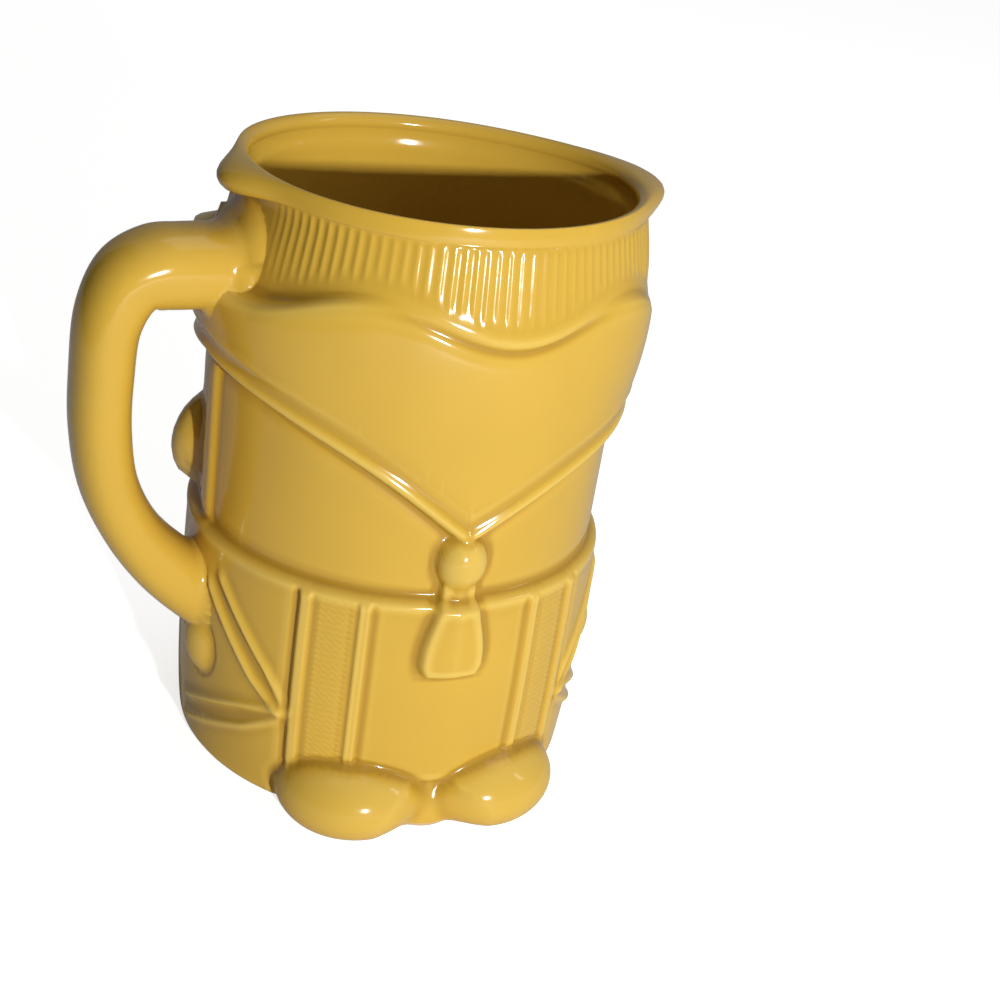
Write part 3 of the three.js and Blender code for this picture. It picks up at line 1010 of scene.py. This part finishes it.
@dataclass(frozen=True)
class Glaze:
    """A glossy ochre glaze that thins to a lighter tone on edges and pools darker in recesses."""

    name: str = "ochre_glaze"
    mid: tuple[float, float, float] = (0.70, 0.432, 0.056)
    edge: tuple[float, float, float] = (0.80, 0.54, 0.105)
    pool: tuple[float, float, float] = (0.46, 0.255, 0.026)
    clay: tuple[float, float, float] = (0.62, 0.5, 0.36)
    ramp: tuple[float, float] = (0.1, 0.92)
    roughness: float = 0.13
    clay_roughness: float = 0.85
    mottle_scale: float = 26.0
    mottle_range: tuple[float, float] = (0.93, 1.06)
    ripple_scale: float = 70.0
    ripple_strength: float = 0.08
    ripple_height: float = 0.002
    index: float = 1.5

    def build(self) -> bpy.types.Material:
        """Builds the material.

        Returns:
            The glaze, with bare clay where the foot stands.
        """
        material = bpy.data.materials.new(self.name)
        material.use_nodes = True
        tree = material.node_tree
        link = tree.links.new
        shader = tree.nodes["Principled BSDF"]
        shader.inputs["IOR"].default_value = self.index
        relief, bare = add_node(tree, "Attribute"), add_node(tree, "Attribute")
        relief.attribute_name, bare.attribute_name = "relief", "bare"
        tone = add_node(tree, "ValToRGB")
        for stop, at, colour in zip(tone.color_ramp.elements, self.ramp, (self.pool, self.edge)):
            stop.position, stop.color = at, (*colour, 1.0)
        tone.color_ramp.elements.new(0.5).color = (*self.mid, 1.0)
        link(relief.outputs["Fac"], tone.inputs["Fac"])
        place = add_node(tree, "TexCoord")
        mottle = add_node(tree, "TexNoise", Scale=self.mottle_scale, Detail=5.0)
        link(place.outputs["Object"], mottle.inputs["Vector"])
        darkest, lightest = self.mottle_range
        shade = add_node(tree, "MapRange", To_Min=darkest, To_Max=lightest)
        link(mottle.outputs["Fac"], shade.inputs["Value"])
        tint = add_node(tree, "VectorMath")
        tint.operation = "SCALE"
        link(tone.outputs["Color"], tint.inputs[0])
        link(shade.outputs["Result"], tint.inputs["Scale"])
        cover = add_node(tree, "Mix")
        cover.data_type = "RGBA"
        cover.inputs[7].default_value = (*self.clay, 1.0)
        link(bare.outputs["Fac"], cover.inputs[0])
        link(tint.outputs["Vector"], cover.inputs[6])
        link(cover.outputs[2], shader.inputs["Base Color"])
        gloss = add_node(tree, "MapRange", To_Min=self.roughness, To_Max=self.clay_roughness)
        link(bare.outputs["Fac"], gloss.inputs["Value"])
        link(gloss.outputs["Result"], shader.inputs["Roughness"])
        ripple = add_node(tree, "TexNoise", Scale=self.ripple_scale, Detail=2.0)
        link(place.outputs["Object"], ripple.inputs["Vector"])
        bump = add_node(tree, "Bump", Strength=self.ripple_strength, Distance=self.ripple_height)
        link(ripple.outputs["Fac"], bump.inputs["Height"])
        link(bump.outputs["Normal"], shader.inputs["Normal"])
        return material


@dataclass
class Pitcher:
    """The whole cast and glazed pitcher, one piece.

    The near and contrast fields say over what distances, in degrees and millimetres, relief is
    compared with its neighbourhood for the glaze, and how strongly it counts.
    """

    body: Body = field(default_factory=Body)
    glaze: Glaze = field(default_factory=Glaze)
    near_turn: float = 2.4
    near_height: float = 2.6
    wall_reach: float = 0.6
    contrast: float = 0.4
    deepest: float = 0.36
    plug_depth: float = 2.0

    def build(self) -> bpy.types.Object:
        """Builds body and handle, joins them and glazes the result.

        Returns:
            The finished piece.
        """
        piece = self.body.build().to_object("pitcher_body")
        log.info("body: %d faces", len(piece.data.polygons))
        loop = Handle(self.body).build().to_object("handle_blank")
        log.info("handle: %d faces", len(loop.data.polygons))
        self.trim_inside(loop)
        self.combine(piece, loop, "UNION")
        self.paint(piece)
        piece.data.materials.clear()
        piece.data.materials.append(self.glaze.build())
        count = len(piece.data.polygons)
        piece.data.polygons.foreach_set("material_index", np.zeros(count, dtype=np.int32))
        piece.data.polygons.foreach_set("use_smooth", np.ones(count, dtype=bool))
        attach(piece, "root")
        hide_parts("pitcher")
        log.info("pitcher: %d faces", count)
        return piece

    def trim_inside(self, loop: bpy.types.Object) -> None:
        """Cuts the handle's ends back to the middle of the wall.

        Args:
            loop: The handle's object.
        """
        angles = full_turn(96)
        levels = np.linspace(20.0, self.body.figure.rim, 14)[:, None] + 0.0 * angles
        wide = np.broadcast_to(angles, levels.shape)
        plug = Shell()
        plug.add_rows(wide, self.body.inner_radius(wide, levels) + self.plug_depth, levels)
        plug.close()
        core = plug.to_object("core_blank")
        self.combine(loop, core, "DIFFERENCE")

    @staticmethod
    def combine(piece: bpy.types.Object, other: bpy.types.Object, operation: str) -> None:
        """Applies a boolean and removes the second object.

        Args:
            piece: The object that keeps the result.
            other: The object that is used up.
            operation: UNION or DIFFERENCE.
        """
        step = piece.modifiers.new("join", "BOOLEAN")
        step.operation = operation
        step.solver = "MANIFOLD"
        step.object = other
        graph = bpy.context.evaluated_depsgraph_get()
        done = bpy.data.meshes.new_from_object(piece.evaluated_get(graph))
        piece.modifiers.clear()
        old = piece.data
        piece.data = done
        bpy.data.meshes.remove(old)
        spent = other.data
        bpy.data.objects.remove(other)
        bpy.data.meshes.remove(spent)

    def paint(self, piece: bpy.types.Object) -> None:
        """Writes how far each point stands proud of its neighbourhood, and where clay is bare.

        Relief is the finished radius less its mean over nearby places on the wall, so edges come
        out above one half and recesses below it. The handle and the inside get one half.

        Args:
            piece: The joined piece.
        """
        count = len(piece.data.vertices)
        flat = np.empty(count * 3, dtype=np.float32)
        piece.data.vertices.foreach_get("co", flat)
        x, y, z = (flat.reshape(-1, 3) / MM).T.astype(float)
        azimuth = np.degrees(np.arctan2(y, x))
        radius = np.hypot(x, y)
        top = self.body.figure.rim - self.body.lip.depth
        order = np.argsort(azimuth)
        inverse = np.argsort(order)
        around = azimuth[order]
        level = z[order]
        here = self.body.outer_radius(around, level)
        ring = np.zeros(count)
        turns, steps = (-self.near_turn, 0.0, self.near_turn), (-self.near_height, 0.0, self.near_height)
        shifts = [(a, b) for a in turns for b in steps if (a, b) != (0.0, 0.0)]
        for across, up in shifts:
            ring += self.body.outer_radius(around + across, np.clip(level + up, 0.0, top))
        proud = (here - ring / len(shifts))[inverse]
        on_wall = np.abs(radius - here[inverse]) < self.wall_reach
        wall = smooth(0.0, 6.0, z) * (1.0 - smooth(top - 2.0, top + 1.0, z))
        value = 0.5 + np.clip(proud * self.contrast, -self.deepest, 0.5) * on_wall * wall
        bare = (1.0 - smooth(0.3, 1.2, z)) * (radius > 30.0) + (z < 0.2)
        for name, values in (("relief", value), ("bare", np.clip(bare, 0.0, 1.0))):
            store = piece.data.attributes.new(name, "FLOAT", "POINT")
            store.data.foreach_set("value", values.astype(np.float32))


@dataclass(frozen=True)
class SoftLight:
    """A rectangular studio light that looks at a point."""

    name: str
    place: tuple[float, float, float]
    target: tuple[float, float, float]
    size: tuple[float, float]
    power: float

    def build(self) -> bpy.types.Object:
        """Builds the light.

        Returns:
            The light object.
        """
        data = bpy.data.lights.new(self.name, "AREA")
        data.shape = "RECTANGLE"
        data.size, data.size_y = self.size
        data.energy = self.power
        light = bpy.data.objects.new(self.name, data)
        aim = Vector(self.target) - Vector(self.place)
        turn = aim.to_track_quat("-Z", "Y").to_matrix().to_4x4()
        light.matrix_world = Matrix.Translation(self.place) @ turn
        bpy.context.scene.collection.objects.link(light)
        return light


@dataclass(frozen=True)
class Studio:
    """A white floor, a dark card beside the handle, three lights and even surroundings."""

    floor_tone: tuple[float, float, float] = (0.86, 0.86, 0.85)
    floor_half: float = 6.0
    card: float = -0.6
    card_reach: tuple[float, float] = (-1.6, 1.2)
    card_height: float = 1.3
    card_tone: tuple[float, float, float] = (0.01, 0.01, 0.01)
    ambient: float = 0.24
    floor_glow: float = 0.75
    lights: tuple[SoftLight, ...] = (
        SoftLight("key", (-0.13, -1.6, 0.44), (0.0, 0.0, 0.2), (0.06, 0.06), 20.5),
        SoftLight("window", (1.25, -0.85, 1.05), (0.0, 0.0, 0.12), (0.14, 0.55), 0.9),
        SoftLight("top", (0.5, 0.3, 1.6), (0.0, 0.1, 0.0), (1.2, 1.0), 3.0),
    )

    @staticmethod
    def build_sheet(
        name: str, corners: list[tuple[float, float, float]], tone: tuple[float, float, float], roughness: float
    ) -> bpy.types.Object:
        """Builds a flat sheet of the studio.

        Args:
            name: The object's name.
            corners: Four corners in metres, in order.
            tone: The sheet's colour.
            roughness: The sheet's roughness.

        Returns:
            The sheet.
        """
        mesh = bpy.data.meshes.new(name)
        mesh.from_pydata(corners, [], [(0, 1, 2, 3)])
        sheet = bpy.data.objects.new(name, mesh)
        bpy.context.scene.collection.objects.link(sheet)
        material = bpy.data.materials.new(f"{name}_sheet")
        material.use_nodes = True
        shader = material.node_tree.nodes["Principled BSDF"]
        shader.inputs["Base Color"].default_value = (*tone, 1.0)
        shader.inputs["Roughness"].default_value = roughness
        mesh.materials.append(material)
        return sheet

    def build_floor(self) -> bpy.types.Object:
        """Builds the floor, which glows towards the camera only, so that it shows white.

        Returns:
            A large level sheet at the object's foot.
        """
        half = self.floor_half
        corners = [(-half, -half, 0.0), (half, -half, 0.0), (half, half, 0.0), (-half, half, 0.0)]
        floor = self.build_sheet("floor", corners, self.floor_tone, 0.9)
        tree = floor.data.materials[0].node_tree
        shader = tree.nodes["Principled BSDF"]
        shader.inputs["Emission Color"].default_value = (1.0, 1.0, 1.0, 1.0)
        seen, glow = add_node(tree, "LightPath"), add_node(tree, "Math")
        glow.operation = "MULTIPLY"
        glow.inputs[1].default_value = self.floor_glow
        tree.links.new(seen.outputs["Is Camera Ray"], glow.inputs[0])
        tree.links.new(glow.outputs["Value"], shader.inputs["Emission Strength"])
        return floor

    def build_card(self) -> bpy.types.Object:
        """Builds the dark card that keeps light off the handle's side, out of the picture.

        Returns:
            An upright sheet beside the object.
        """
        x, near, far, high = self.card, *self.card_reach, self.card_height
        corners = [(x, near, 0.0), (x, far, 0.0), (x, far, high), (x, near, high)]
        return self.build_sheet("card", corners, self.card_tone, 1.0)

    def build_world(self) -> None:
        """Lights the surroundings evenly and shows colours as a plain photograph does."""
        bpy.context.scene.view_settings.view_transform = "Standard"
        world = bpy.data.worlds.new("studio")
        world.use_nodes = True
        sky = world.node_tree.nodes["Background"]
        sky.inputs["Color"].default_value = (1.0, 1.0, 1.0, 1.0)
        sky.inputs["Strength"].default_value = self.ambient
        bpy.context.scene.world = world

    def build(self) -> None:
        """Builds floor, card, world and lights."""
        self.build_floor()
        self.build_card()
        self.build_world()
        for light in self.lights:
            light.build()


@dataclass(frozen=True)
class View:
    """The photo's camera: where it stands, how it is turned and how long its lens is."""

    azimuth: float = -117.0
    distance: float = 488.98
    height: float = 334.0
    pan: float = 0.076
    pitch: float = 0.458
    roll: float = 0.161
    lens: float = 54.87
    sensor: float = 36.0

    def build(self) -> bpy.types.Object:
        """Builds the camera and makes it the scene's own.

        Returns:
            The camera object.
        """
        data = bpy.data.cameras.new("camera")
        data.lens = self.lens
        data.sensor_width = self.sensor
        data.clip_start = 0.01
        camera = bpy.data.objects.new("camera", data)
        ahead = math.radians(self.azimuth + 180.0) - self.pan
        forward = Vector((math.cos(ahead) * math.cos(self.pitch), math.sin(ahead) * math.cos(self.pitch),
                          -math.sin(self.pitch)))
        level = Vector((math.sin(ahead), -math.cos(ahead), 0.0))
        upright = level.cross(forward)
        right = level * math.cos(self.roll) + upright * math.sin(self.roll)
        up = upright * math.cos(self.roll) - level * math.sin(self.roll)
        place = math.radians(self.azimuth)
        at = Vector((self.distance * math.cos(place), self.distance * math.sin(place), self.height)) * MM
        turn = Matrix((right, up, -forward)).transposed().to_4x4()
        camera.matrix_world = Matrix.Translation(at) @ turn
        bpy.context.scene.collection.objects.link(camera)
        bpy.context.scene.camera = camera
        return camera


def plain(bounds: object) -> list[list[float]]:
    """Turns a pair of corners into plain lists.

    Args:
        bounds: The lowest and the highest corner.

    Returns:
        The same corners as lists of numbers.
    """
    return [[float(v) for v in corner] for corner in bounds]


def main() -> None:
    """Builds the pitcher, the studio and the view, in that order."""
    logging.basicConfig(level=logging.INFO, format="%(name)s %(message)s")
    Pitcher().build()
    Studio().build()
    log.info("studio built")
    View().build()
    log.info("camera set")


if __name__ == "__main__":
    main()
